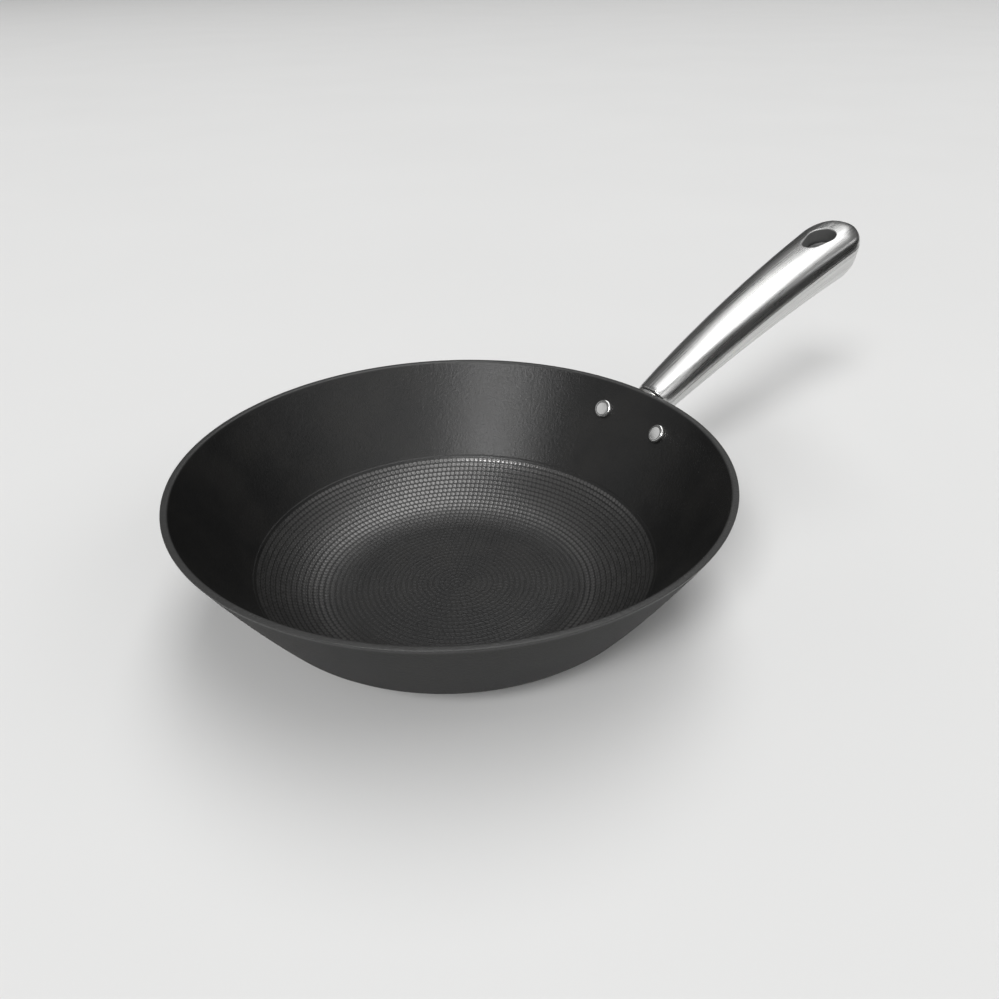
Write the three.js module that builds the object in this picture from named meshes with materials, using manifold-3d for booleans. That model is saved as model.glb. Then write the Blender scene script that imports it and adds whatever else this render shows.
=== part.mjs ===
// A flat-based wok of thin cast iron with a hollow steel handle on a riveted bracket.
// Millimetres, +Z up. The origin is the centre of the flat underside, and the handle points along +X.
import * as THREE from 'three';
import { mergeVertices } from 'three/addons/utils/BufferGeometryUtils.js';
import Module from 'manifold-3d';

const wasm = await Module();
wasm.setup();

// Bowl
const rimRadius = 150;          // outer edge of the lip
const innerDepth = 76.5;        // flat cooking surface to the top of the lip
const wallThickness = 3.2;
const baseThickness = 4;
const baseFlatRadius = 58.5;    // flat part of the cooking surface
const lowerCurveRadius = 73;    // from the flat up to the crease
const creaseHeight = 23;        // crease above the flat cooking surface
const wallAngleAtLip = 60;      // degrees from the horizontal
const lipRounding = 0.9;

// Rivets
const rivetSpacing = 46.2;      // straight distance between the two axes at the cooking side
const rivetDrop = 15.6;         // axis below the lip at the cooking side
const rivetHeadRadius = 5.8;
const rivetHeadHeight = 1.2;
const rivetEdgeRounding = 0.7;
const rivetShankRadius = 3;
const rivetTailRadius = 4.8;
const rivetTailHeight = 2.2;
const rivetTailRim = 0.8;       // straight side of the upset tail

// Bracket
const bracketWidth = 68;
const bracketTopDrop = 6;       // upper edge of the saddle below the lip
const bracketBottomDrop = 29;   // lower edge of the saddle below the lip
const bracketThickness = 2.6;
const bracketCornerRadius = 9;
const neckRadius = 10.7;
const spigotLength = 16;
const spigotChamfer = 1;

// Handle: the seam line between its two pressings is one gentle arc
const handleReach = 4.8;        // centre of the front ring outside the lip
const handleDrop = 7.4;         // centre of the front ring below the lip
const handleRiseAngle = 27.3;   // degrees at the front ring
const handleBendRadius = 1010;
const handleLength = 198.8;
const handleFrontRadius = 11.4;
const gripHalfWidth = 20.9;
const gripRise = 10.2;          // seam to crown at the wide end
const gripDepth = 27.7;         // seam to underside at the wide end
const gripEndLength = 20.1;     // rounded end
const sheetThickness = 1.2;
const holeWideRadius = 9.3;     // hanging hole: a large and a small round joined by straight sides
const holeNarrowRadius = 6.5;
const holeSpan = 9.6;           // between the two rounds
const holeToEnd = 26.8;         // large round's centre to the handle's end

// Clearances
const fitGap = 0.3;             // between pieces that lie on each other
const shankClearance = 0.3;
const grooveWidth = 0.8;        // between the neck's shoulder and the handle's front edge

// Facets and section shape
const bowlSegments = 72;
const lowerCurveSteps = 8;
const upperWallSteps = 6;
const saddleSteps = 5;
const roundSegments = 28;
const cornerSteps = 3;
const saddleCornerSteps = 6;
const gripSegments = 40;
const gripSteps = 12;           // along the handle up to its rounded end
const gripEndSteps = 7;
const seamSteps = 24;
const holeArcSteps = 10;
const mergeDistance = 1e-5;     // points nearer than this are one
const crownPower = 2.17;        // exponent of the crown's oval section at the front
const crownFlattening = 0.5;    // added to it at the wide end
const flatGrowth = 3;           // how late the crown flattens
const bellyLean = 20;           // degrees that the belly's oval is past upright at the seam
const leanRun = 12;             // distance from the round front over which that grows
const widthGrowth = 0.71;       // how early the handle widens
const depthGrowth = 0.8;        // how early it deepens
const crownFullness = 7;        // how long the rounded end keeps its height above the seam
const bellyFullness = 3;        // the same below the seam

const radians = THREE.MathUtils.degToRad;
const lerp = THREE.MathUtils.lerp;
const rimHeight = baseThickness + innerDepth;
const neckBlank = 3 * neckRadius;                   // neck stock before the wall's curve is cut into it
const handleBlock = 4 * (gripRise + gripDepth);     // taller than the handle, for cuts right through it

// A closed geometry as a solid, with shared points merged and collapsed faces at the poles dropped.
function solidOf(geometry) {
  const bare = geometry.clone();
  bare.deleteAttribute('normal');
  bare.deleteAttribute('uv');
  const merged = mergeVertices(bare, mergeDistance);
  const index = merged.index.array;
  const faces = [];
  for (let i = 0; i < index.length; i += 3) {
    const [a, b, c] = [index[i], index[i + 1], index[i + 2]];
    if (a !== b && b !== c && c !== a) faces.push(a, b, c);
  }
  const vertProperties = new Float32Array(merged.attributes.position.array);
  const build = (tris) => new wasm.Manifold(
    new wasm.Mesh({ numProp: 3, vertProperties, triVerts: new Uint32Array(tris) }));
  const solid = build(faces);
  return solid.volume() > 0 ? solid : build(faces.reverse());
}

function geometryOf(solid) {
  const mesh = solid.getMesh();
  const geometry = new THREE.BufferGeometry();
  geometry.setAttribute('position', new THREE.BufferAttribute(new Float32Array(mesh.vertProperties), 3));
  geometry.setIndex(new THREE.BufferAttribute(new Uint32Array(mesh.triVerts), 1));
  geometry.computeVertexNormals();
  return geometry;
}

// A profile of [radius, height] points turned about Z.
function turned(profile, segments) {
  const points = profile.map(([r, z]) => new THREE.Vector2(r, z));
  return new THREE.LatheGeometry(points, segments).rotateX(Math.PI / 2);
}

// The same profile turned about an axis that starts at a point and runs along a direction.
function turnedAlong(profile, segments, start, direction) {
  const turn = new THREE.Quaternion().setFromUnitVectors(new THREE.Vector3(0, 0, 1), direction);
  return turned(profile, segments).applyQuaternion(turn).translate(start.x, start.y, start.z);
}

// A corner softened by a short curve that starts and ends one rounding away from it.
function softCorner(before, corner, after, rounding) {
  const at = new THREE.Vector2(...corner);
  const near = (other) => {
    const way = new THREE.Vector2(...other).sub(at);
    return at.clone().add(way.setLength(Math.min(rounding, way.length() / 2)));
  };
  const curve = new THREE.QuadraticBezierCurve(near(before), at, near(after));
  return curve.getPoints(cornerSteps).map((p) => [p.x, p.y]);
}

// The cooking side is two arcs: the lower curve, flat at its start, and the upper wall.
// A point of either is found from its tangent angle.
const creaseAngle = Math.acos(1 - creaseHeight / lowerCurveRadius);
const lipAngle = radians(wallAngleAtLip);
const lipInnerRadius = rimRadius - wallThickness / Math.sin(lipAngle);
const lowerArc = { r: baseFlatRadius, z: baseThickness, angle: 0, radius: lowerCurveRadius };

function arcPoint(arc, angle) {
  return {
    r: arc.r + arc.radius * (Math.sin(angle) - Math.sin(arc.angle)),
    z: arc.z - arc.radius * (Math.cos(angle) - Math.cos(arc.angle)),
    angle,
  };
}

function upperWallArc() {
  const crease = arcPoint(lowerArc, creaseAngle);
  const run = lipInnerRadius - crease.r;
  const rise = rimHeight - crease.z;
  const chordAngle = Math.atan2(rise, run);
  const half = lipAngle - chordAngle;
  const radius = Math.hypot(run, rise) / (2 * Math.sin(half));
  return { r: crease.r, z: crease.z, angle: chordAngle - half, radius };
}
const upperArc = upperWallArc();

function arcSteps(arc, from, to, steps) {
  return Array.from({ length: steps + 1 }, (_, i) => arcPoint(arc, lerp(from, to, i / steps)));
}

// Point of the upper wall's cooking side at a given distance below the lip.
function wallAtDrop(drop) {
  const cosine = Math.cos(upperArc.angle) - (rimHeight - drop - upperArc.z) / upperArc.radius;
  return arcPoint(upperArc, Math.acos(cosine));
}

// A cooking-side point moved outwards through the wall.
function outside(point, distance) {
  return [point.r + distance * Math.sin(point.angle), point.z - distance * Math.cos(point.angle)];
}

const lowerPoints = arcSteps(lowerArc, 0, creaseAngle, lowerCurveSteps);
const upperPoints = arcSteps(upperArc, upperArc.angle, lipAngle, upperWallSteps);

// Outer side of the bowl from the underside up to just below the lip, moved out by an extra distance.
function outerSide(extra) {
  const lower = lowerPoints.slice(0, -1).map((p, i) => {
    const thickness = lerp(baseThickness, wallThickness, i / (lowerPoints.length - 1));
    return outside(p, thickness + extra);
  });
  const upper = upperPoints.slice(0, -1).map((p) => outside(p, wallThickness + extra));
  return [...lower, ...upper];
}

function bowl() {
  const inner = [...lowerPoints, ...upperPoints.slice(1, -1)].map((p) => [p.r, p.z]);
  const outer = outerSide(0).reverse();
  const lipInner = [lipInnerRadius, rimHeight];
  const lipOuter = [rimRadius, rimHeight];
  const profile = [
    [0, baseThickness],
    ...inner,
    ...softCorner(inner.at(-1), lipInner, lipOuter, lipRounding),
    ...softCorner(lipInner, lipOuter, outer[0], lipRounding),
    ...outer,
    [0, 0],
  ];
  const holes = rivetSites.map((site) => rivetHole(site));
  return holes.reduce((body, hole) => body.subtract(hole), solidOf(turned(profile, bowlSegments)));
}

// Everything the bowl fills, grown by the fit gap and carried straight up above the lip.
function bowlEnvelope() {
  const above = rimHeight + neckBlank;
  const edge = rimRadius + fitGap;
  const profile = [[0, -fitGap], ...outerSide(fitGap), [edge, rimHeight], [edge, above], [0, above]];
  return solidOf(turned(profile, bowlSegments));
}

// Each rivet stands square to the wall. Distances along it count outwards from the cooking side.
function rivetSite(side) {
  const wall = wallAtDrop(rivetDrop);
  const around = side * Math.asin(rivetSpacing / 2 / wall.r);
  const outward = Math.sin(wall.angle);
  const downward = -Math.cos(wall.angle);
  return {
    start: new THREE.Vector3(wall.r * Math.cos(around), wall.r * Math.sin(around), wall.z),
    direction: new THREE.Vector3(outward * Math.cos(around), outward * Math.sin(around), downward),
  };
}
const rivetSites = [rivetSite(1), rivetSite(-1)];
const rivetTailSeat = wallThickness + fitGap + bracketThickness + fitGap;

function rivetHole(site) {
  const radius = rivetShankRadius + shankClearance;
  const reach = rivetTailSeat + rivetTailHeight;
  const profile = [[0, -reach], [radius, -reach], [radius, reach], [0, reach]];
  return solidOf(turnedAlong(profile, roundSegments, site.start, site.direction));
}

function rivet(site) {
  const face = -fitGap - rivetHeadHeight;
  const tail = rivetTailSeat + rivetTailHeight;
  const headSide = [rivetHeadRadius, -fitGap];
  const headEdge = softCorner([0, face], [rivetHeadRadius, face], headSide, rivetEdgeRounding);
  const tailSide = [rivetTailRadius, rivetTailSeat + rivetTailRim];
  const tailEdge = softCorner(tailSide, [rivetTailRadius, tail], [0, tail], rivetTailHeight);
  const profile = [
    [0, face],
    ...headEdge,
    headSide,
    [rivetShankRadius, -fitGap],
    [rivetShankRadius, rivetTailSeat],
    [rivetTailRadius, rivetTailSeat],
    ...tailEdge,
    [0, tail],
  ];
  return solidOf(turnedAlong(profile, roundSegments, site.start, site.direction));
}

// Seam line of the handle: its point and tangent angle at a distance from the front ring.
const handleStart = {
  x: rimRadius + handleReach,
  z: rimHeight - handleDrop,
  angle: radians(handleRiseAngle),
};

function seamPoint(along) {
  const angle = handleStart.angle - along / handleBendRadius;
  return {
    x: handleStart.x + handleBendRadius * (Math.sin(handleStart.angle) - Math.sin(angle)),
    z: handleStart.z + handleBendRadius * (Math.cos(angle) - Math.cos(handleStart.angle)),
    angle,
  };
}

// Bends a geometry drawn with X along the seam line, Y sideways and Z square to the seam.
function bent(geometry) {
  const position = geometry.attributes.position;
  for (let i = 0; i < position.count; i += 1) {
    const seam = seamPoint(position.getX(i));
    const up = position.getZ(i);
    const x = seam.x - up * Math.sin(seam.angle);
    const z = seam.z + up * Math.cos(seam.angle);
    position.setXYZ(i, x, position.getY(i), z);
  }
  return geometry;
}

// Outer skin of the handle, or its hollow when it is set in by the sheet's thickness.
function handleSkin(inset, front) {
  const end = handleLength - inset;
  const roundStart = handleLength - gripEndLength;
  const stations = [front];
  for (let i = 0; i <= gripSteps; i += 1) {
    const along = (roundStart * i) / gripSteps;
    if (along > front) stations.push(along);
  }
  for (let i = 1; i < gripEndSteps; i += 1) {
    stations.push(lerp(roundStart, end, Math.sin((Math.PI / 2) * (i / gripEndSteps))));
  }
  const profile = [[0, front], ...stations.map((along) => [1, along]), [0, end]];
  const geometry = turned(profile, gripSegments);
  const position = geometry.attributes.position;
  const oval = (c, power) => Math.sign(c) * Math.abs(c) ** (2 / power);
  for (let i = 0; i < position.count; i += 1) {
    const along = position.getZ(i);
    const share = THREE.MathUtils.clamp(along / roundStart, 0, 1);
    const round = THREE.MathUtils.clamp((along - roundStart) / (end - roundStart), 0, 1);
    const halfWidth = lerp(handleFrontRadius, gripHalfWidth, share ** widthGrowth) - inset;
    const flat = share ** flatGrowth;
    const power = crownPower + crownFlattening * flat;
    const rise = lerp(handleFrontRadius, gripRise, flat) - inset;
    const depth = lerp(handleFrontRadius, gripDepth, share ** depthGrowth) - inset;
    const side = oval(position.getX(i), power);
    const across = side * halfWidth * Math.sqrt(1 - round ** 2);
    const crown = oval(position.getY(i), power) * rise * Math.sqrt(1 - round ** crownFullness);
    const lean = radians(bellyLean) * (1 - Math.exp(-Math.max(along, 0) / leanRun));
    const low = Math.sin(lean);
    const arc = (Math.sqrt(1 - (side * Math.cos(lean)) ** 2) - low) / (1 - low);
    const belly = -depth * arc * Math.sqrt(1 - round ** bellyFullness);
    position.setXYZ(i, along, across, position.getY(i) > 0 ? crown : belly);
  }
  return solidOf(bent(geometry));
}

// Prism of the hanging hole's outline, grown by a margin, right through the handle.
function hangingHole(margin) {
  const centre = handleLength - holeToEnd;
  const open = Math.PI - Math.acos((holeWideRadius - holeNarrowRadius) / holeSpan);
  const outline = new THREE.Shape();
  outline.absarc(centre, 0, holeWideRadius + margin, -open, open, false);
  outline.absarc(centre - holeSpan, 0, holeNarrowRadius + margin, open, 2 * Math.PI - open, false);
  outline.closePath();
  const extent = { depth: handleBlock, bevelEnabled: false, curveSegments: holeArcSteps };
  const prism = new THREE.ExtrudeGeometry(outline, extent);
  return solidOf(bent(prism.translate(0, 0, -handleBlock / 2)));
}

// Half of the space round the handle: above the seam for side 1, below it for side -1.
function seamHalf(side) {
  const length = handleLength + 2 * gripEndLength;
  const block = new THREE.BoxGeometry(length, handleBlock, handleBlock, seamSteps, 1, 1);
  return solidOf(bent(block.translate(handleLength / 2, 0, side * (handleBlock + fitGap) / 2)));
}

function handleShells() {
  const hollow = handleSkin(sheetThickness, -sheetThickness).subtract(hangingHole(sheetThickness));
  const shell = handleSkin(0, 0).subtract(hollow).subtract(hangingHole(0));
  return { upper: shell.intersect(seamHalf(1)), lower: shell.intersect(seamHalf(-1)) };
}

// Saddle that follows the wall, the neck up to the handle, and the spigot inside the handle.
function saddle() {
  const margin = bracketTopDrop / 2;
  const top = wallAtDrop(bracketTopDrop - margin).angle;
  const bottom = wallAtDrop(bracketBottomDrop + margin).angle;
  const points = arcSteps(upperArc, bottom, top, saddleSteps);
  const near = points.map((p) => outside(p, wallThickness + fitGap));
  const far = points.map((p) => outside(p, wallThickness + fitGap + bracketThickness)).reverse();
  const band = solidOf(turned([...near, ...far, near[0]], bowlSegments));

  const half = bracketWidth / 2;
  const low = rimHeight - bracketBottomDrop;
  const high = rimHeight - bracketTopDrop;
  const corner = bracketCornerRadius;
  const outline = new THREE.Shape();
  outline.absarc(half - corner, low + corner, corner, -Math.PI / 2, 0, false);
  outline.absarc(half - corner, high - corner, corner, 0, Math.PI / 2, false);
  outline.absarc(corner - half, high - corner, corner, Math.PI / 2, Math.PI, false);
  outline.absarc(corner - half, low + corner, corner, Math.PI, 1.5 * Math.PI, false);
  outline.closePath();
  const extent = { depth: 2 * rimRadius, bevelEnabled: false, curveSegments: saddleCornerSteps };
  const prism = new THREE.ExtrudeGeometry(outline, extent);
  const axes = new THREE.Matrix4().makeBasis(
    new THREE.Vector3(0, 1, 0), new THREE.Vector3(0, 0, 1), new THREE.Vector3(1, 0, 0));
  return band.intersect(solidOf(prism.applyMatrix4(axes)));
}

function bracket() {
  const spigotRadius = handleFrontRadius - sheetThickness - fitGap;
  const back = handleReach + neckBlank;
  const profile = [
    [0, -back],
    [neckRadius, -back],
    [neckRadius, -grooveWidth],
    [spigotRadius, -grooveWidth],
    [spigotRadius, spigotLength - spigotChamfer],
    [spigotRadius - spigotChamfer, spigotLength],
    [0, spigotLength],
  ];
  const start = new THREE.Vector3(handleStart.x, 0, handleStart.z);
  const direction = new THREE.Vector3(Math.cos(handleStart.angle), 0, Math.sin(handleStart.angle));
  const neck = solidOf(turnedAlong(profile, roundSegments, start, direction)).subtract(bowlEnvelope());
  const whole = saddle().add(neck);
  return rivetSites.reduce((body, site) => body.subtract(rivetHole(site)), whole);
}

const castIron = { color: 0x2c2c2d, roughness: 0.7, metalness: 0.4 };
const brushedSteel = { color: 0xb4b4b1, roughness: 0.35, metalness: 1 };
const brightSteel = { color: 0xcacac8, roughness: 0.25, metalness: 1 };

const wok = new THREE.Group();

function addPiece(name, solid, finish) {
  const mesh = new THREE.Mesh(geometryOf(solid), new THREE.MeshStandardMaterial(finish));
  mesh.name = name;
  wok.add(mesh);
}

const shells = handleShells();
addPiece('wok_body', bowl(), castIron);
addPiece('handle_bracket', bracket(), brushedSteel);
addPiece('rivet_left', rivet(rivetSites[0]), brightSteel);
addPiece('rivet_right', rivet(rivetSites[1]), brightSteel);
addPiece('handle_upper_shell', shells.upper, brushedSteel);
addPiece('handle_lower_shell', shells.lower, brushedSteel);

export default wok;
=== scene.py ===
"""Looks of a flat-based cast iron wok with a riveted steel handle, in metres, in the part's frame."""
import math

import bpy
import numpy as np
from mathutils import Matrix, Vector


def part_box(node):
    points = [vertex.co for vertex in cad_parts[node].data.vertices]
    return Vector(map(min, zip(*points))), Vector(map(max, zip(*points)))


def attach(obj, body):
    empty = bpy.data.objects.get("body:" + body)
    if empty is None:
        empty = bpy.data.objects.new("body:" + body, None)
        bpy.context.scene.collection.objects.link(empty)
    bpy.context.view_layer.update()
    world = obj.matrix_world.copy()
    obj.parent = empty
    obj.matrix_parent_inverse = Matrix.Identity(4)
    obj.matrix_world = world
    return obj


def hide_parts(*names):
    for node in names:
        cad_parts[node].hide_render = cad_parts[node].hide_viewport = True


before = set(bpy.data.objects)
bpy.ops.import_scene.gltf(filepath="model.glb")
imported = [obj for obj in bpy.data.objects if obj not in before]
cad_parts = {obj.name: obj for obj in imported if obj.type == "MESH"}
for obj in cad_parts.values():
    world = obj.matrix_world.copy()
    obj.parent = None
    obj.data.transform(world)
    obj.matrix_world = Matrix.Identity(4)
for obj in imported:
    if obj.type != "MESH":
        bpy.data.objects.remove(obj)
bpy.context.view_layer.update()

# Bowl: one thin iron casting with a flat base, a lower zone of small raised dots in rings and a plain
# wall. It is cast in sand, ground along the lip, and blackened with oil that is baked on.
rim_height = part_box("wok_body")[1].z
rim_radius = 0.150
base_thickness = 0.004
wall_thickness = 0.0032
flat_run = 0.0585               # flat part of the cooking side, from the middle
lower_radius = 0.073            # curve from the flat up to the crease
crease_rise = 0.023             # crease above the flat
lip_slope = math.radians(60)
lip_rounding = 0.0011
lip_clear = 0.002               # from the lip to the wall's last row of points
wall_start = 0.004              # from the crease to the wall's first row of points
base_hub = 0.004                # innermost ring of the underside
ledge_height = 0.0004           # low ledge along the crease
ledge_width = 0.0012
ledge_run = 0.009               # run below the crease over which the ledge rises
ledge_foot = np.array([-0.0009, -0.0003])           # rows of points just below the crease
ring_pitch = 0.00312
dot_pitch = 0.00295
dot_height = 0.00024
flat_dots = 0.4                 # share of that height on the flat, where the dots are worn low
full_dot_slope = 0.2            # slope from which the dots have their full height
dot_rings = 37
dot_columns = 4                 # points round a ring for each dot
dot_rows = np.array([-0.40, -0.14, 0.14, 0.40])     # rows of points across a ring, in pitches
gap_share = 0.08                # height left between two dots of a ring
ring_start = math.radians(41.6)
bowl_segments = 240
ledge_rings = 9
wall_rings = 14
foot_rings = 18
base_rings = 8
corner_points = 7               # points of a rounded corner
lip_bare_depth = 0.0009         # below the top of the lip, where grinding starts to show
lip_bare_full = 0.0002          # and where it shows in full
worn_start = 0.0003             # height above the flat at which the dots start to be rubbed bright
worn_full = 0.004
black_oil = (0.006, 0.006, 0.0059, 1)
brown_oil = (0.010, 0.0097, 0.0091, 1)
rubbed_iron = (0.15, 0.148, 0.146, 1)
ground_iron = (0.06, 0.06, 0.059, 1)
iron_grain_depth = 0.00032

crease_slope = math.acos(1 - crease_rise / lower_radius)
crease_run = flat_run + lower_radius * crease_slope
crease_radius = flat_run + lower_radius * math.sin(crease_slope)
crease_height = base_thickness + crease_rise
lip_inner = rim_radius - wall_thickness / math.sin(lip_slope)
wall_chord = math.atan2(rim_height - crease_height, lip_inner - crease_radius)
foot_slope = 2 * wall_chord - lip_slope
wall_span = math.hypot(rim_height - crease_height, lip_inner - crease_radius)
upper_radius = wall_span / (2 * math.sin(lip_slope - wall_chord))
lip_run = crease_run + upper_radius * (lip_slope - foot_slope)


def cooking_side(distance):
    """Radius, height and slope of the cooking side at a distance along it from the middle.
    It is flat, then one arc up to the crease, then a much flatter arc up to the lip."""
    distance = np.asarray(distance, float)
    lower = np.clip((distance - flat_run) / lower_radius, 0, crease_slope)
    upper = foot_slope + np.maximum(distance - crease_run, 0) / upper_radius
    lower_r = np.minimum(distance, flat_run) + lower_radius * np.sin(lower)
    lower_z = base_thickness + lower_radius * (1 - np.cos(lower))
    upper_r = crease_radius + upper_radius * (np.sin(upper) - math.sin(foot_slope))
    upper_z = crease_height + upper_radius * (math.cos(foot_slope) - np.cos(upper))
    on_wall = distance > crease_run
    radius = np.where(on_wall, upper_r, lower_r)
    height = np.where(on_wall, upper_z, lower_z)
    return radius, height, np.where(on_wall, upper, lower)


def ledged_side(distance):
    """The cooking side with its ledge, which rises as a square up to the crease and drops as a squared
    cosine just above it, square to the surface."""
    radius, height, slope = cooking_side(distance)
    below = np.clip(1 + (distance - crease_run) / ledge_run, 0, 1) ** 2
    above = np.cos(math.pi / 2 * np.clip((distance - crease_run) / ledge_width, 0, 1)) ** 2
    lift = ledge_height * below * above
    return radius - lift * np.sin(slope), height + lift * np.cos(slope), slope


def around(radius, height, turn):
    """Points at a radius from the upright axis, a height and an angle round it."""
    radius, height, turn = np.broadcast_arrays(radius, height, turn)
    return np.stack([radius * np.cos(turn), radius * np.sin(turn), height], axis=-1)


def soft_corner(before, corner, after, rounding):
    """Points of a parabola that leaves one line and joins the next, each at one rounding from the corner
    where the two lines meet."""
    before, corner, after = (np.array(place, float) for place in (before, corner, after))
    start = corner + (before - corner) * rounding / np.linalg.norm(before - corner)
    end = corner + (after - corner) * rounding / np.linalg.norm(after - corner)
    t = np.linspace(0, 1, corner_points)[:, None]
    return (1 - t) ** 2 * start + 2 * t * (1 - t) * corner + t ** 2 * end


def between_rings(first, second):
    """Quads between two closed rings of point numbers with equal counts."""
    return np.stack([first, second, np.roll(second, -1), np.roll(first, -1)], axis=1)


def zipped_rings(first, second):
    """Triangles between two closed rings of point numbers with different counts, from the same angle.
    Of the next points of the two rings, the one that comes first round the circle ends each triangle."""
    ends = np.concatenate([np.arange(1, len(ring) + 1) / len(ring) for ring in (first, second)])
    of_first = np.arange(len(ends)) < len(first)
    order = np.argsort(ends, kind="stable")
    step_first = of_first[order]
    i = np.cumsum(step_first) - step_first
    j = np.cumsum(~step_first) - ~step_first
    third = np.where(step_first, first[(i + 1) % len(first)], second[(j + 1) % len(second)])
    return np.stack([first[i % len(first)], second[j % len(second)], third], axis=1)


def dot_zone():
    """Points, height shares, faces and outer edge of the dotted zone, one dot in the middle, the rest in
    rings. A dot's share of its height is a squared cosine across its ring times a squared sine along it,
    which keeps a low ridge between neighbours. It stands square to the cooking side, lower on the flat."""
    points = [np.array([[0, 0, base_thickness + dot_height * flat_dots]])]
    shares = [np.ones(1)]
    faces = []
    outer = None
    count = 1
    for ring in range(1, dot_rings + 1):
        dots = round(2 * math.pi * float(cooking_side(ring * ring_pitch)[0]) / dot_pitch)
        column = np.arange(dots * dot_columns)
        turn = ring_start + 2 * math.pi * column / len(column)
        along = gap_share + (1 - gap_share) * np.sin(math.pi * (column % dot_columns) / dot_columns) ** 2
        share = np.cos(math.pi * dot_rows[:, None]) ** 2 * along
        radius, height, slope = ledged_side((ring + dot_rows[:, None]) * ring_pitch)
        steep = np.clip(slope / full_dot_slope, 0, 1)
        lift = dot_height * share * (flat_dots + (1 - flat_dots) * steep)
        raised = around(radius - lift * np.sin(slope), height + lift * np.cos(slope), turn)
        points.append(raised.reshape(-1, 3))
        shares.append(share.ravel())
        rows = count + np.arange(share.size).reshape(share.shape)
        if outer is None:
            faces.append(np.stack([np.zeros_like(rows[0]), rows[0], np.roll(rows[0], -1)], axis=1))
        else:
            faces.append(zipped_rings(outer, rows[0]))
        faces.extend(between_rings(rows[k], rows[k + 1]) for k in range(len(dot_rows) - 1))
        outer = rows[-1]
        count += share.size
    return points, shares, faces, outer


def bowl_profile():
    """Radius and height from the ledge up the wall, over the lip, down the outside and inwards under the
    base, and whether each point is on the outside. The outside is the cooking side moved out square to
    itself, by a thickness that goes from the base's to the wall's between the flat and the crease."""
    ledge_rows = crease_run + np.concatenate([ledge_foot, np.linspace(0, ledge_width, ledge_rings)])
    wall_rows = np.linspace(crease_run + wall_start, lip_run - lip_clear, wall_rings)
    r, z, _ = ledged_side(np.concatenate([ledge_rows, wall_rows]))
    inside = np.stack([r, z], axis=1)
    down_wall = np.linspace(lip_run - lip_clear, crease_run, wall_rings)
    round_foot = np.linspace(crease_run, flat_run, foot_rings)[1:]
    distance = np.concatenate([down_wall, round_foot])
    r, z, slope = cooking_side(distance)
    share = np.clip((distance - flat_run) / (crease_run - flat_run), 0, 1)
    thickness = base_thickness + (wall_thickness - base_thickness) * share
    outside = np.stack([r + thickness * np.sin(slope), z - thickness * np.cos(slope)], axis=1)
    base_r = np.linspace(flat_run, base_hub, base_rings)[1:]
    base = np.stack([base_r, np.zeros(len(base_r))], axis=1)
    lip_in = (lip_inner, rim_height)
    lip_out = (rim_radius, rim_height)
    inner_edge = soft_corner(inside[-1], lip_in, lip_out, lip_rounding)
    outer_edge = soft_corner(lip_in, lip_out, outside[0], lip_rounding)
    profile = np.concatenate([inside, inner_edge, outer_edge, outside, base])
    return profile, np.arange(len(profile)) >= len(profile) - len(outside) - len(base)


def bowl_mesh():
    """The dotted zone and the turned rest of the bowl, joined into one closed skin, with each point's
    share of a dot's height and whether it is on the outside."""
    points, shares, faces, dotted_edge = dot_zone()
    profile, outside = bowl_profile()
    turn = ring_start + 2 * math.pi * np.arange(bowl_segments) / bowl_segments
    first = sum(len(ring) for ring in points)
    rows = first + np.arange(len(profile) * bowl_segments).reshape(len(profile), bowl_segments)
    points.append(around(profile[:, :1], profile[:, 1:], turn).reshape(-1, 3))
    points.append(np.zeros((1, 3)))
    shares.append(np.zeros(rows.size + 1))
    faces.append(zipped_rings(dotted_edge, rows[0]))
    faces.extend(between_rings(rows[k], rows[k + 1]) for k in range(len(profile) - 1))
    under = np.full(bowl_segments, rows[-1, -1] + 1)
    faces.append(np.stack([rows[-1], under, np.roll(rows[-1], -1)], axis=1))
    outside = np.concatenate([np.zeros(first), np.repeat(outside, bowl_segments), [1]])
    return np.concatenate(points), faces, {"dot_share": np.concatenate(shares), "outside": outside}


def add_piece(name, points, faces, material, node, slot):
    """Makes a smooth mesh object from points and arrays of faces, and puts it in the place of a node."""
    mesh = bpy.data.meshes.new(name)
    mesh.from_pydata(points.tolist(), [], [face for block in faces for face in block.tolist()])
    mesh.polygons.foreach_set("use_smooth", np.ones(len(mesh.polygons), bool))
    mesh.materials.append(material)
    piece = bpy.data.objects.new(name, mesh)
    bpy.context.scene.collection.objects.link(piece)
    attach(piece, "root")
    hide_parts(node)
    return piece


def set_share(piece, name, values):
    """Gives each point of a piece a number that its material reads."""
    share = piece.data.attributes.new(name, "FLOAT", "POINT")
    share.data.foreach_set("value", values.astype(np.float32))


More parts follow.
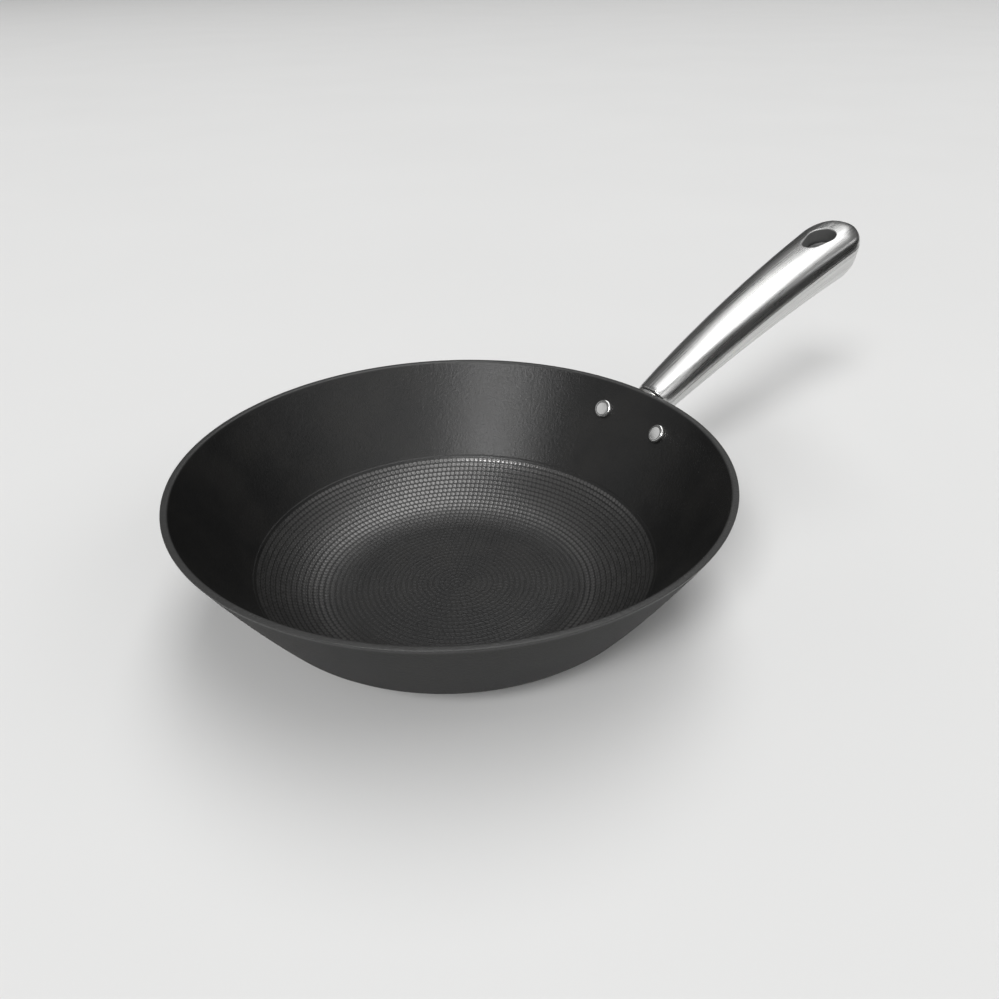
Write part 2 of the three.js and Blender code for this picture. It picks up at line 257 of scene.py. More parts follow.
class Socket:
    """An output of a shader node. Sums and products of sockets and numbers add Math nodes."""

    def __init__(self, tree, link=None):
        self.tree = tree
        self.link = link

    def add(self, kind, settings=None, inputs=None, output=0):
        """Adds a node, sets its settings, then sets or links its inputs, and gives one of its outputs."""
        node = self.tree.nodes.new(kind)
        for name, value in (settings or {}).items():
            setattr(node, name, value)
        for name, value in (inputs or {}).items():
            if isinstance(value, Socket):
                self.tree.links.new(value.link, node.inputs[name])
            else:
                node.inputs[name].default_value = value
        return Socket(self.tree, node.outputs[output])

    def work_out(self, operation, first, second):
        """A Math node's result for two sockets or numbers."""
        return self.add("ShaderNodeMath", {"operation": operation}, {0: first, 1: second})

    def __add__(self, other):
        return self.work_out("ADD", self, other)

    def __radd__(self, other):
        return self.work_out("ADD", other, self)

    def __sub__(self, other):
        return self.work_out("SUBTRACT", self, other)

    def __rsub__(self, other):
        return self.work_out("SUBTRACT", other, self)

    def __mul__(self, other):
        return self.work_out("MULTIPLY", self, other)

    def __rmul__(self, other):
        return self.work_out("MULTIPLY", other, self)

    def attribute(self, name):
        """A number that each point of the piece carries."""
        return self.add("ShaderNodeAttribute", {"attribute_name": name}, None, "Fac")

    def noise(self, place, scale, detail=2.0, rough=0.5):
        """Soft random clouds from 0 to 1, finer with a greater scale."""
        inputs = {"Vector": place, "Scale": scale, "Detail": detail, "Roughness": rough}
        return self.add("ShaderNodeTexNoise", None, inputs, "Fac")

    def blend(self, share, first, second):
        """Colour that goes from the first to the second as the share goes from 0 to 1.
        A Mix node's colours are its inputs 6 and 7 and its output 2."""
        settings = {"data_type": "RGBA"}
        return self.add("ShaderNodeMix", settings, {0: share, 6: first, 7: second}, 2)

    def step(self, value, low, high):
        """0 below the low value and 1 above the high one, with a soft rise between them."""
        settings = {"interpolation_type": "SMOOTHSTEP"}
        inputs = {"Value": value, "From Min": low, "From Max": high}
        return self.add("ShaderNodeMapRange", settings, inputs)

    def bump(self, height, depth):
        """A normal tilted as if the surface rose by the height times the depth."""
        inputs = {"Height": height, "Distance": depth, "Strength": 1.0}
        return self.add("ShaderNodeBump", None, inputs, "Normal")


def finish_of(name, paint):
    """A material whose Principled shader takes the numbers and sockets that paint() gives."""
    material = bpy.data.materials.new(name)
    material.use_nodes = True
    tree = material.node_tree
    shader = tree.nodes["Principled BSDF"]
    for socket, value in paint(Socket(tree)).items():
        if isinstance(value, Socket):
            tree.links.new(value.link, shader.inputs[socket])
        else:
            shader.inputs[socket].default_value = value
    return material


def seasoned_iron(nodes):
    """Black baked-on oil over a sandy grain, browner in patches and matt on the outside. The dots above
    the flat are smoother and rubbed brighter, each a little differently, and the lip is ground."""
    place = nodes.add("ShaderNodeTexCoord", output="Object")
    height = nodes.add("ShaderNodeSeparateXYZ", None, {0: place}, "Z")
    crest = nodes.attribute("dot_share")
    outside = nodes.attribute("outside")
    grain = nodes.noise(place, 1100, 3, 0.7)
    peel = nodes.noise(place, 480, 2, 0.6)
    patches = nodes.noise(place, 34, 3)
    lip = nodes.step(height, rim_height - lip_bare_depth, rim_height - lip_bare_full)
    worn = 0.1 + 0.9 * nodes.step(height, base_thickness + worn_start, base_thickness + worn_full)
    each = 0.7 + 0.6 * nodes.noise(place, 330, 1)
    face = nodes.step(crest, 0.03, 0.35)
    top = face * worn * each
    oil = nodes.blend(nodes.step(patches, 0.35, 0.68), black_oil, brown_oil)
    rubbed = nodes.blend(top, oil, rubbed_iron)
    colour = nodes.blend(lip * (0.35 + 0.4 * grain), rubbed, ground_iron)
    rough = 0.28 + 0.14 * grain + 0.08 * patches - 0.09 * face + 0.32 * outside
    texture = (0.5 * grain + 0.5 * peel) * (1 - 0.6 * face)
    return {
        "Base Color": colour,
        "Roughness": rough,
        "Metallic": 0.9 * top,
        "Specular IOR Level": 0.5,
        "Normal": nodes.bump(texture, iron_grain_depth),
    }


iron = finish_of("seasoned_iron", seasoned_iron)
bowl_points, bowl_faces, bowl_shares = bowl_mesh()
bowl = add_piece("cast_bowl", bowl_points, bowl_faces, iron, "wok_body", "seasoned_iron")
for share_name, share_values in bowl_shares.items():
    set_share(bowl, share_name, share_values)

# Bracket: a steel saddle that follows the outside of the wall, with a short round neck welded to it.
# The neck's spigot carries the hollow handle, and a narrow groove shows between the neck and the handle.
saddle_half_width = 0.034
saddle_top = rim_height - 0.006
saddle_bottom = rim_height - 0.029
saddle_thickness = 0.0026
saddle_corner = 0.009
saddle_gap = 0.0002             # between the wall and the saddle
saddle_edge = 0.0008            # rounding of its edges
saddle_hub = 0.04               # innermost ring of its faces, as a share of its outline
saddle_rings = 8                # rings over each face
saddle_edge_rings = 9
saddle_points = 160
corner_turns = 48               # points on the outline's four corners together
neck_radius = 0.0107
neck_sink = 0.0012              # how far the neck's foot is sunk into the saddle
neck_edge = 0.0004              # rounding of its front edge
neck_search = 0.045             # longest line looked for from the front to the foot
neck_halvings = 40
neck_rows = 14
neck_segments = 72
weld_width = 0.0022
weld_start = 0.0036             # length of neck at which there is room for the weld
weld_full = 0.0096
spigot_radius = 0.0099
spigot_length = 0.012
spigot_edge = 0.001
groove_width = 0.0008
handle_angle = math.radians(27.3)
handle_front = np.array([rim_radius + 0.0048, 0, rim_height - 0.0074])
handle_axis = np.array([math.cos(handle_angle), 0, math.sin(handle_angle)])
satin_tone = (0.60, 0.60, 0.59, 1)
heated_tone = (0.50, 0.49, 0.47, 1)


def wall_at(height, depth):
    """Radius, height and slope of the wall at a height of its cooking side, moved outwards by a depth."""
    slope = np.arccos(math.cos(foot_slope) - (height - crease_height) / upper_radius)
    radius = crease_radius + upper_radius * (np.sin(slope) - math.sin(foot_slope))
    return radius + depth * np.sin(slope), height - depth * np.cos(slope), slope


def closed_skin(rings):
    """Points and faces of a closed form: quads between its rings, and a fan to the middle of each end."""
    count, size, _ = rings.shape
    ends = rings[[0, -1]].mean(axis=1)
    rows = np.arange(count * size).reshape(count, size)
    faces = [between_rings(rows[k], rows[k + 1]) for k in range(count - 1)]
    first = np.full(size, count * size)
    last = first + 1
    faces.append(np.stack([first, rows[0], np.roll(rows[0], -1)], axis=1))
    faces.append(np.stack([last, np.roll(rows[-1], -1), rows[-1]], axis=1))
    return np.concatenate([rings.reshape(-1, 3), ends]), faces


def outward(points, faces):
    """The faces, turned round where their signed volume is below zero."""
    fans = []
    for block in faces:
        fans += [block[:, [0, k, k + 1]] for k in range(1, block.shape[1] - 1)]
    a, b, c = (points[np.concatenate(fans)[:, k]] for k in range(3))
    inside_out = np.einsum("ij,ij->", a, np.cross(b, c)) < 0
    return [block[:, ::-1] for block in faces] if inside_out else faces


def joined(*parts):
    """One list of points and faces from several closed forms."""
    starts = np.cumsum([0] + [len(points) for points, _ in parts])
    faces = []
    for (points, blocks), start in zip(parts, starts):
        faces += [block + start for block in outward(points, blocks)]
    return np.concatenate([points for points, _ in parts]), faces


def rounded_outline(half_width, half_height, corner):
    """Evenly spaced points of a rectangle with round corners, as sideways and upright places."""
    turn = np.linspace(0, 2 * math.pi, corner_turns, endpoint=False) + math.pi / corner_turns
    y = np.sign(np.cos(turn)) * (half_width - corner) + corner * np.cos(turn)
    z = np.sign(np.sin(turn)) * (half_height - corner) + corner * np.sin(turn)
    y = np.append(y, y[0])
    z = np.append(z, z[0])
    run = np.concatenate([[0], np.cumsum(np.hypot(np.diff(y), np.diff(z)))])
    at = np.linspace(0, run[-1], saddle_points, endpoint=False)
    return np.stack([np.interp(at, run, y), np.interp(at, run, z)], axis=1)


def saddle_form():
    """Rings of the rounded outline, grown from the middle of the outer face, over the edge in a half
    round, to the inner face. Each place is laid on the outside of the wall at its own depth."""
    half_height = (saddle_top - saddle_bottom) / 2
    middle = (saddle_top + saddle_bottom) / 2
    turn = np.linspace(0, math.pi, saddle_edge_rings)
    edge_inset = saddle_edge * (1 - np.sin(turn))
    edge_middle = np.where(turn < math.pi / 2, saddle_thickness - saddle_edge, saddle_edge)
    edge_depth = edge_middle + saddle_edge * np.cos(turn)
    face_share = np.linspace(saddle_hub, 1, saddle_rings + 1)[:-1]
    face_inset = np.full(saddle_rings, saddle_edge)
    inset = np.concatenate([face_inset, edge_inset, face_inset])
    share = np.concatenate([face_share, np.ones(len(turn)), face_share[::-1]])
    depth = np.concatenate([np.full(saddle_rings, saddle_thickness), edge_depth, np.zeros(saddle_rings)])
    flat = np.stack([
        rounded_outline(saddle_half_width - i, half_height - i, saddle_corner - i) * s
        for i, s in zip(inset, share)])
    sideways = flat[..., 0]
    upright = flat[..., 1]
    depth = wall_thickness + saddle_gap + depth[:, None]
    slope = wall_at(middle + upright, 0)[2]
    radius, height, _ = wall_at(middle + upright + depth * np.cos(slope), depth)
    return closed_skin(np.stack([np.sqrt(radius ** 2 - sideways ** 2), sideways, height], axis=-1))


def neck_form():
    """A tube along the handle's axis. Each of its lines runs back to where it is sunk in the saddle, which
    is found by halving. Near that foot it swells into the weld, as a bell curve of the distance from the
    foot, and in front it steps down to the spigot."""
    turn = 2 * math.pi * np.arange(neck_segments) / neck_segments
    upright = np.array([-handle_axis[2], 0, handle_axis[0]])
    spoke = np.cos(turn)[:, None] * np.array([0, 1, 0]) + np.sin(turn)[:, None] * upright
    sunk = wall_thickness + saddle_gap + saddle_thickness - neck_sink
    low = np.full(neck_segments, groove_width + neck_edge)
    high = np.full(neck_segments, neck_search)
    for _ in range(neck_halvings):
        middle = (low + high) / 2
        point = handle_front + spoke * neck_radius - handle_axis * middle[:, None]
        level = np.clip(point[:, 2] + sunk * math.cos(lip_slope), crease_height, rim_height)
        clear = np.hypot(point[:, 0], point[:, 1]) > wall_at(level, sunk)[0]
        low, high = np.where(clear, middle, low), np.where(clear, high, middle)
    back = groove_width + (low - groove_width) * np.linspace(1, 0, neck_rows)[:, None]
    room = np.clip((low - weld_start) / (weld_full - weld_start), 0, 1)
    swell = weld_width * np.exp(-((low - back) / weld_width) ** 2) * room
    lines = [(back[k], neck_radius + swell[k]) for k in range(neck_rows - 1)]
    lines += [
        (groove_width + neck_edge, neck_radius),
        (groove_width + neck_edge / 4, neck_radius - neck_edge / 4),
        (groove_width, neck_radius - neck_edge),
        (groove_width, spigot_radius),
        (-spigot_length, spigot_radius),
        (-spigot_length - spigot_edge, spigot_radius - spigot_edge),
    ]
    rings = [
        handle_front + spoke * np.reshape(radius, (-1, 1)) - handle_axis * np.reshape(behind, (-1, 1))
        for behind, radius in lines]
    return closed_skin(np.stack(rings))


def satin_steel(nodes):
    """Stainless steel with a fine even satin, a little duller and browner in patches, as after welding."""
    place = nodes.add("ShaderNodeTexCoord", output="Object")
    satin = nodes.noise(place, 3500, 2)
    smear = nodes.noise(place, 90, 3)
    return {
        "Base Color": nodes.blend(nodes.step(smear, 0.4, 0.7), satin_tone, heated_tone),
        "Metallic": 1.0,
        "Roughness": 0.28 + 0.14 * satin + 0.10 * smear,
        "Normal": nodes.bump(satin, 0.00002),
    }


steel_satin = finish_of("satin_steel", satin_steel)
bracket = joined(saddle_form(), neck_form())
add_piece("saddle_and_neck", *bracket, steel_satin, "handle_bracket", "bracket_steel")

# Rivets: two bright steel rivets through the wall and the saddle, with flat heads inside the bowl.
# Their tails are pressed into low domes on the outside of the saddle.
rivet_spacing = 0.0462
rivet_height = rim_height - 0.0156
rivet_head_radius = 0.0058
rivet_head_height = 0.0022
rivet_head_crown = 0.0002
rivet_head_hub = 0.0004         # innermost ring of the head
rivet_edge = 0.0015
rivet_shank_radius = 0.003
rivet_tail_radius = 0.0048
rivet_tail_height = 0.0024
rivet_tail_rim = 0.0006         # straight rim under the tail's dome
rivet_seat = 0.0001             # how far the head beds into the wall's grain
rivet_segments = 80
rivet_head_rings = 7
rivet_dome_rings = 10
scuffed_tone = (0.72, 0.72, 0.71, 1)
polished_tone = (0.80, 0.80, 0.79, 1)


def rivet_profile():
    """Distance outwards from the cooking side and radius: a head with a faint parabolic crown and a
    rounded edge, the shank, and a tail that is a quarter ellipse on a low rim."""
    face = -rivet_head_height
    tail = wall_thickness + saddle_gap + saddle_thickness - rivet_seat
    radius = np.linspace(rivet_head_hub, rivet_head_radius - rivet_edge, rivet_head_rings)
    head = np.stack([face - rivet_head_crown * (1 - (radius / radius[-1]) ** 2), radius], axis=1)
    corner = (face, rivet_head_radius)
    seat = (rivet_seat, rivet_head_radius)
    edge = soft_corner(head[-1], corner, seat, rivet_edge)
    shank = [
        seat,
        (rivet_seat, rivet_shank_radius),
        (tail, rivet_shank_radius),
        (tail, rivet_tail_radius),
    ]
    turn = np.linspace(0, math.pi / 2, rivet_dome_rings)[:-1]
    dome_rise = rivet_tail_rim + (rivet_tail_height - rivet_tail_rim) * np.sin(turn)
    dome = np.stack([tail + dome_rise, rivet_tail_radius * np.cos(turn)], axis=1)
    return np.concatenate([head, edge, shank, dome])


def rivet_form(side):
    """The profile turned about a line square to the wall, to the left or right of the handle."""
    radius, height, slope = wall_at(rivet_height, 0)
    turn = side * math.asin(rivet_spacing / 2 / radius)
    axis = np.array([np.sin(slope) * math.cos(turn), np.sin(slope) * math.sin(turn), -np.cos(slope)])
    sideways = np.array([-math.sin(turn), math.cos(turn), 0])
    spin = 2 * math.pi * np.arange(rivet_segments) / rivet_segments
    spoke = np.cos(spin)[:, None] * sideways + np.sin(spin)[:, None] * np.cross(axis, sideways)
    start = around(radius, height, turn)
    profile = rivet_profile()
    rings = start + profile[:, :1, None] * axis + profile[:, 1:, None] * spoke
    return joined(closed_skin(rings))


def bright_steel(nodes):
    """Polished steel with fine scuffs."""
    place = nodes.add("ShaderNodeTexCoord", output="Object")
    scuff = nodes.noise(place, 1400, 4, 0.65)
    cloud = nodes.noise(place, 300, 2)
    return {
        "Base Color": nodes.blend(scuff, scuffed_tone, polished_tone),
        "Metallic": 1.0,
        "Roughness": 0.14 + 0.12 * scuff + 0.06 * cloud,
        "Normal": nodes.bump(scuff, 0.00001),
    }


steel_bright = finish_of("bright_steel", bright_steel)
add_piece("left_rivet", *rivet_form(1), steel_bright, "rivet_left", "rivet_steel")
add_piece("right_rivet", *rivet_form(-1), steel_bright, "rivet_right", "rivet_steel")

# Handle: a crown and a belly pressed from thin stainless sheet and joined along the sides.
# A teardrop hole for hanging goes through both, with its edge turned in. The steel is brushed lengthwise.
handle_length = 0.1988
bend_radius = 1.01
front_radius = 0.0114
grip_half_width = 0.0209
grip_rise = 0.0102
grip_depth = 0.0277
widening = 0.71                 # power of the share of its length by which it widens
deepening = 0.8                 # power by which it deepens below the seam
flat_growth = 3                 # power by which it flattens above the seam
end_run = 0.0201                # rounded end
sheet = 0.0012
front_rounding = 0.0006
seam_gap = 0.0002
seam_rounding = 0.0003
belly_lean = math.radians(20)   # how far the belly's oval is past upright at the seam
lean_run = 0.012                # distance from the round front over which that grows
crown_power = 2.17              # at the front
crown_flattening = 0.5          # added to it at the wide end
crown_fullness = 7              # how long the rounded end keeps its height
belly_fullness = 3
hole_wide = 0.0093              # two rounds joined by straight sides
hole_narrow = 0.0065
hole_span = 0.0096
hole_middle = handle_length - 0.0268
hole_rounding = 0.0008
least_rounding = 0.0001         # of the hole's edge on the inner side of the sheet
straight_run = handle_length - end_run
front_rows = np.array([0, 0.12, 0.4, 1])            # rows over the front edge, in roundings
tip_rows = np.array([0.9996, 0.99993, 0.99999])     # last rows of the rounded end, in its length
seam_turns = np.array([0, 0.008, 0.018, 0.03])      # first columns from the seam, in radians
straight_rows = 76
end_rows = 30
girth_columns = 65
hole_wide_points = 200
hole_narrow_points = 120
hole_division = 8               # parts that each of their steps is divided into
block_front = 0.005             # room round the hole where rings take the place of the grid
block_end = 0.0045
block_side = 0.66               # in half widths
shrink_rings = 7                # rings from the block's edge to the hole
fold_rings = 6                  # rings over its turned-in edge
deep_rings = 4                  # rings from there to the seam
ring_limit = 0.98               # furthest that they go over the rounded end, in its length
brushing_radius = 0.016         # radius that the brushing's girth is laid out on
dark_streak = (0.50, 0.50, 0.495, 1)
light_streak = (0.72, 0.72, 0.71, 1)
# painted shade: a dark tone for the hole's inner wall and the sheet's inner side, standing for the shade
# inside the hole
hole_shade_tone = (0.15, 0.15, 0.148, 1)


def on_handle(along, across, height):
    """Carries places drawn on a straight handle onto its gentle arc: along, sideways and square to it."""
    angle = handle_angle - along / bend_radius
    forward = bend_radius * (math.sin(handle_angle) - np.sin(angle)) - height * np.sin(angle)
    upward = bend_radius * (np.cos(angle) - math.cos(handle_angle)) + height * np.cos(angle)
    return np.stack([handle_front[0] + forward, across, handle_front[2] + upward], axis=-1)


def half_width(along, over, inset):
    """Half the handle's width: it widens early, and closes as a quarter ellipse over the rounded end."""
    share = np.clip(along / straight_run, 0, 1)
    wide = front_radius + (grip_half_width - front_radius) * share ** widening - inset
    return wide * np.sqrt(1 - over ** 2)


def crown_height(along, over, side, inset):
    """Height of the crown above the seam at a share of the half width: a superellipse, flatter towards
    the wide end, that keeps its height over most of the rounded end."""
    flat = np.clip(along / straight_run, 0, 1) ** flat_growth
    power = crown_power + crown_flattening * flat
    rise = front_radius + (grip_rise - front_radius) * flat - inset
    return rise * (1 - np.abs(side) ** power) ** (1 / power) * np.sqrt(1 - over ** crown_fullness)


def belly_height(along, over, side, inset):
    """Depth of the belly below the seam, as a height below zero: an arc of an ellipse that starts aslant
    at the seam and keeps its depth over part of the rounded end."""
    share = np.clip(along / straight_run, 0, 1)
    depth = front_radius + (grip_depth - front_radius) * share ** deepening - inset
    start = belly_lean * (1 - np.exp(-along / lean_run))
    lean = np.sqrt(1 - (side * np.cos(start)) ** 2)
    return -depth * (lean - np.sin(start)) / (1 - np.sin(start)) * np.sqrt(1 - over ** belly_fullness)


def hole_reach(angle, inset):
    """Distance from the hole's own middle to its edge at an angle from the handle's length, read off a
    finely divided outline of two arcs and the straight lines that touch both."""
    wide = hole_wide + inset
    narrow = hole_narrow + inset
    opening = math.pi - math.acos((wide - narrow) / hole_span)
    big = np.linspace(-opening, opening, hole_wide_points)
    small = np.linspace(opening, 2 * math.pi - opening, hole_narrow_points)
    a = np.concatenate([hole_span / 2 + wide * np.cos(big), -hole_span / 2 + narrow * np.cos(small)])
    y = np.concatenate([wide * np.sin(big), narrow * np.sin(small)])
    a = np.append(a, a[0])
    y = np.append(y, y[0])
    coarse = np.arange(len(a))
    fine = np.linspace(0, len(a) - 1, hole_division * len(a))
    a = np.interp(fine, coarse, a)
    y = np.interp(fine, coarse, y)
    return np.interp(angle, np.arctan2(y, a), np.hypot(a, y), period=2 * math.pi)


def pressing(height_of, up):
    """Flat places, shares of painted shade on the inner side and in the hole, and faces of one pressing,
    closed by its inner side.
    Both sides are grids of stations along the handle and shares of its width. Round the hole a block of
    the grid gives way to rings that shrink from its edge to the hole, turn in and run to the seam."""
    front = front_rounding * front_rows
    straight = np.linspace(front_rounding, straight_run, straight_rows)[1:]
    over_rows = np.append(np.sin(np.linspace(0, math.pi / 2, end_rows))[1:-1], tip_rows)
    turn = np.linspace(0, math.pi, girth_columns)[1:-1]
    side = np.cos(np.concatenate([seam_turns, turn, math.pi - seam_turns[::-1]]))
    hole_centre = hole_middle - hole_span / 2
    along_all = np.concatenate([front, straight, straight_run + end_run * over_rows])
    first_row = np.searchsorted(along_all, hole_centre - hole_span / 2 - hole_narrow - block_front)
    last_row = np.searchsorted(along_all, hole_centre + hole_span / 2 + hole_wide + block_end)
    first_column = np.searchsorted(-side, -block_side)
    last_column = len(side) - 1 - first_column
    i = np.arange(first_row, last_row)
    j = np.arange(first_column, last_column)
    edge_i = np.concatenate([np.full(len(j), first_row), i, np.full(len(j), last_row), i[::-1] + 1])
    edge_j = np.concatenate([j, np.full(len(i), last_column), j[::-1] + 1, np.full(len(i), first_column)])
    grid = np.arange(len(along_all) * len(side)).reshape(len(along_all), len(side))

    def skin(inset):
        """Places of one side of the sheet, set in from the outer side: the grid, the hole's rings and
        the tip. The outer side has a rounded front edge and is tucked in along the seam."""
        end = end_run - inset
        along = np.concatenate([front, straight, straight_run + end * over_rows])
        over = np.concatenate([np.zeros(len(front) + len(straight)), over_rows])
        lip = np.clip(front_rounding - along, 0, None)
        lip = front_rounding - np.sqrt(front_rounding ** 2 - lip ** 2)
        slim = (1 - lip / front_radius)[:, None] if inset == 0 else np.ones((len(along), 1))
        along = along[:, None]
        over = over[:, None]
        width = half_width(along, over, inset)
        height = height_of(along, over, side, inset) * slim
        low = np.clip(1 - np.abs(height) / seam_rounding, 0, 1)
        tuck = 0 if inset else seam_rounding * low ** 2
        across = np.abs(side) * width * slim - tuck * np.sqrt(1 - over ** 2)
        across = np.sign(side) * np.clip(across, 0, None)
        flat = [np.stack([along - tuck * over + 0 * across, across, height], axis=-1).reshape(-1, 3)]
        block = flat[0][grid[edge_i, edge_j]]
        ray = np.arctan2(block[:, 1], block[:, 0] - hole_centre)
        far = np.hypot(block[:, 1], block[:, 0] - hole_centre)
        hole = hole_reach(ray, inset)
        shrink = np.linspace(1, 0, shrink_rings + 1)[1:, None]
        fold = np.linspace(0, math.pi / 2, fold_rings + 1)[1:, None]
        fillet = max(hole_rounding - inset, least_rounding)
        flat_reach = hole + fillet + (far - hole - fillet) * shrink
        fold_reach = hole + fillet * (1 - np.sin(fold))
        reach = np.concatenate([flat_reach, fold_reach])
        drop = np.concatenate([np.zeros((shrink_rings, 1)), fillet * (1 - np.cos(fold))])
        a = hole_centre + reach * np.cos(ray)
        y = reach * np.sin(ray)
        beyond = np.clip((a - straight_run) / end, 0, ring_limit)
        share = np.clip(y / half_width(a, beyond, inset), -1, 1)
        h = height_of(a, beyond, share, inset) - up * drop
        flat.append(np.stack([a, y, h], axis=-1).reshape(-1, 3))
        deep = h[-1] * np.linspace(1, 0, deep_rings + 1)[1:, None]
        flat.append(np.stack([a[-1] + 0 * deep, y[-1] + 0 * deep, deep], axis=-1).reshape(-1, 3))
        tip_along = straight_run + end - (0 if inset else seam_rounding)
        flat.append(np.array([[tip_along, 0, 0]]))
        flat = np.concatenate(flat)
        flat[:, 2] += up * seam_gap / 2
        return flat

    flat = np.concatenate([skin(0), skin(sheet)])
    half = len(flat) // 2
    ring_count = shrink_rings + fold_rings + deep_rings
    rings = grid.size + np.arange(ring_count * len(edge_i)).reshape(ring_count, len(edge_i))
    rings = np.concatenate([[grid[edge_i, edge_j]], rings])
    quads = np.stack([grid[:-1, :-1], grid[1:, :-1], grid[1:, 1:], grid[:-1, 1:]], axis=-1)
    keep = np.ones(quads.shape[:2], bool)
    keep[first_row:last_row, first_column:last_column] = False
    tip = np.full(len(side) - 1, half - 1)
    outer = [quads[keep], np.stack([grid[-1, :-1], tip, grid[-1, 1:]], axis=1)]
    outer += [between_rings(rings[k], rings[k + 1]) for k in range(ring_count)]
    border = np.concatenate([grid[::-1, 0], grid[0, 1:], grid[1:, -1], [half - 1]])
    rims = [between_rings(border, border + half), between_rings(rings[-1], rings[-1] + half)]
    faces = outer + [block[:, ::-1] + half for block in outer] + rims
    # painted shade: these shares darken the hole's turned-in edge and inner wall, and the whole inner side
    fold_shares = np.linspace(0, 1, fold_rings + 1)[1:]
    ring_shares = np.concatenate([np.zeros(shrink_rings), fold_shares, np.ones(deep_rings)])
    outside = np.concatenate([np.zeros(grid.size), np.repeat(ring_shares, len(edge_i)), [0]])
    return flat, np.concatenate([outside, np.ones(half)]), faces


def brushed_steel(nodes):
    """Stainless steel brushed lengthwise: long streaks in its gloss and tone. Its inner side and the
    hole's inner wall are duller, and are painted dark as shade inside the hole.
    """
    place = nodes.add("ShaderNodeUVMap", {"uv_map": "brushing"})
    long_streak = nodes.add("ShaderNodeMapping", None, {"Vector": place, "Scale": (9, 620, 1)})
    fine_streak = nodes.add("ShaderNodeMapping", None, {"Vector": place, "Scale": (40, 2200, 1)})
    streak = nodes.noise(long_streak, 1.0, 4, 0.65)
    scratch = nodes.noise(fine_streak, 1.0, 2, 0.6)
    smear = nodes.noise(nodes.add("ShaderNodeTexCoord", output="Object"), 60, 3)
    # painted shade: darkens the hole's inner wall and the inner side; they are also made duller and less
    # metallic
    shaded_lining = nodes.attribute("shaded_lining")
    tint = nodes.blend(nodes.step(streak, 0.3, 0.7), dark_streak, light_streak)
    return {
        "Base Color": nodes.blend(shaded_lining, tint, hole_shade_tone),
        "Metallic": 1.0 - 0.8 * shaded_lining,
        "Roughness": 0.18 + 0.16 * streak + 0.05 * smear + 0.25 * shaded_lining,
        "Normal": nodes.bump(0.5 * streak + 0.5 * scratch, 0.00006),
    }


def add_pressing(name, height_of, up, node):
    """One pressing, with a map of its length and girth for the brushing."""
    flat, shaded_lining, faces = pressing(height_of, up)
    points = on_handle(flat[:, 0], flat[:, 1], flat[:, 2])
    piece = add_piece(name, points, outward(points, faces), steel_brushed, node, "handle_steel")
    set_share(piece, "shaded_lining", shaded_lining)
    girth = brushing_radius * np.arctan2(np.abs(flat[:, 2]), flat[:, 1])
    corner = np.empty(len(piece.data.loops), np.int32)
    piece.data.loops.foreach_get("vertex_index", corner)
    laid_out = np.stack([flat[:, 0], girth], axis=1)[corner].astype(np.float32)
    piece.data.uv_layers.new(name="brushing").uv.foreach_set("vector", laid_out.ravel())


steel_brushed = finish_of("brushed_steel", brushed_steel)
add_pressing("handle_crown", crown_height, 1, "handle_upper_shell")
add_pressing("handle_belly", belly_height, -1, "handle_lower_shell")

# Studio: a pale paper floor under a dim sky and four soft lamps, overhead, left, front left and in front.
# A black card that only reflections show stands beside the handle and gives its steel a dark band.
# The camera stands where the photograph was taken from.
floor_reach = 30.0
floor_tone = (0.74, 0.74, 0.735, 1)
floor_light_tone = (0.77, 0.77, 0.765, 1)
card_near = 0.2                 # along the handle
card_far = 1.1
card_side = -0.22
card_height = 0.38
card_tone = (0.02, 0.02, 0.02, 1)
card_nap_tone = (0.03, 0.03, 0.03, 1)
horizon_level = 0.05
sky_level = 0.14
sky_white = (1, 1, 1, 1)
camera_place = (-0.24128, -0.35238, 0.31613)
camera_turn = (58.962, 0.917, -38.309)      # degrees
camera_lens = 32.806            # millimetres
camera_sensor = 36              # its width in millimetres


def studio_floor(nodes):
    """Matt paper with a barely uneven tone."""
    cloud = nodes.noise(nodes.add("ShaderNodeTexCoord", output="Object"), 3.0, 2)
    tone = nodes.blend(cloud, floor_tone, floor_light_tone)
    return {"Base Color": tone, "Roughness": 0.8, "Specular IOR Level": 0.0}


def black_cloth(nodes):
    """Black cloth with a faint nap."""
    nap = nodes.noise(nodes.add("ShaderNodeTexCoord", output="Object"), 300, 2)
    return {"Base Color": nodes.blend(nap, card_tone, card_nap_tone), "Roughness": 0.9}


def add_sheet(name, corners, material):
    """One flat four-cornered sheet of the studio."""
    mesh = bpy.data.meshes.new(name)
    mesh.from_pydata(corners, [], [(0, 1, 2, 3)])
    mesh.materials.append(material)
    flat_sheet = bpy.data.objects.new(name, mesh)
    bpy.context.scene.collection.objects.link(flat_sheet)
    return flat_sheet


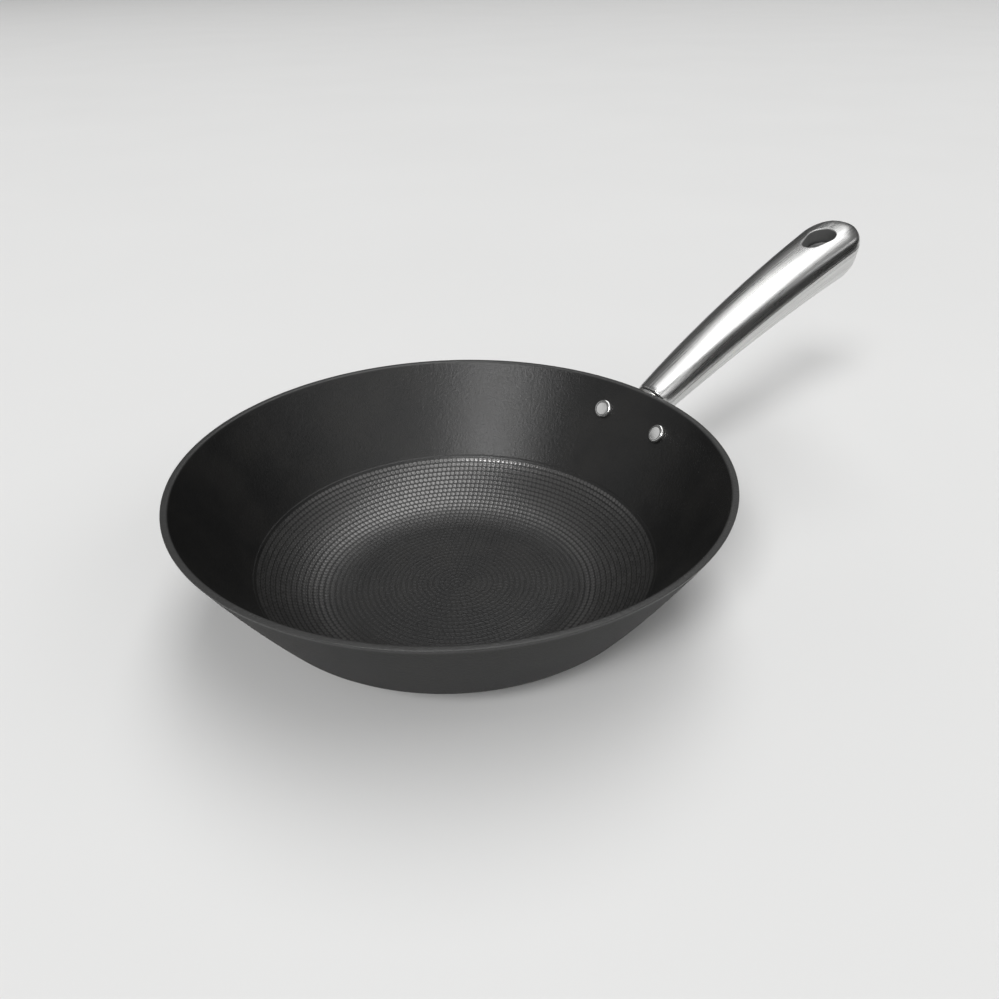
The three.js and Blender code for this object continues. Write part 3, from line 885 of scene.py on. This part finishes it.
def add_lamp(name, place, tilt, heading, size, power):
    """A soft rectangular lamp at a place, tilted from straight down, then turned, both in degrees."""
    lamp = bpy.data.lights.new(name, "AREA")
    lamp.shape = "RECTANGLE"
    lamp.size, lamp.size_y = size
    lamp.energy = power
    light = bpy.data.objects.new(name, lamp)
    light.location = place
    light.rotation_euler = (math.radians(tilt), 0, math.radians(heading))
    light.visible_camera = False
    bpy.context.scene.collection.objects.link(light)


floor_corners = [
    (-floor_reach, -floor_reach, 0),
    (floor_reach, -floor_reach, 0),
    (floor_reach, floor_reach, 0),
    (-floor_reach, floor_reach, 0),
]
floor = add_sheet("floor", floor_corners, finish_of("studio_floor", studio_floor))

flag_corners = [
    (card_near, card_side, 0),
    (card_far, card_side, 0),
    (card_far, card_side, card_height),
    (card_near, card_side, card_height),
]
flag = add_sheet("flag", flag_corners, finish_of("black_cloth", black_cloth))
flag.visible_camera = False
flag.visible_diffuse = False
flag.visible_shadow = False

add_lamp("overhead", (3.75, 1.30, 18.0), 0, -34.4, (9.0, 26.2), 1980)
add_lamp("left", (-10.8, 9.7, 6.9), 64.6, -131.9, (14.0, 7.0), 190)
add_lamp("front_left", (-10.6, -5.9, 10.4), 49.4, -60.9, (4.4, 4.4), 1420)
add_lamp("front", (4.0, -12.6, 9.6), 54.0, 17.6, (26.0, 8.0), 800)

world = bpy.data.worlds.new("studio")
world.use_nodes = True
background = world.node_tree.nodes["Background"]
background.inputs["Color"].default_value = sky_white
sky = Socket(world.node_tree)
direction = sky.add("ShaderNodeTexCoord", output="Generated")
upward = sky.add("ShaderNodeSeparateXYZ", None, {0: direction}, "Z")
strength = horizon_level + (sky_level - horizon_level) * sky.step(upward, 0.0, 1.0)
world.node_tree.links.new(strength.link, background.inputs["Strength"])
bpy.context.scene.world = world

camera_data = bpy.data.cameras.new("camera")
camera_data.sensor_width = camera_sensor
camera_data.lens = camera_lens
camera = bpy.data.objects.new("camera", camera_data)
camera.location = camera_place
camera.rotation_euler = [math.radians(angle) for angle in camera_turn]
bpy.context.scene.collection.objects.link(camera)
bpy.context.scene.camera = camera
bpy.context.scene.view_settings.view_transform = "Standard"
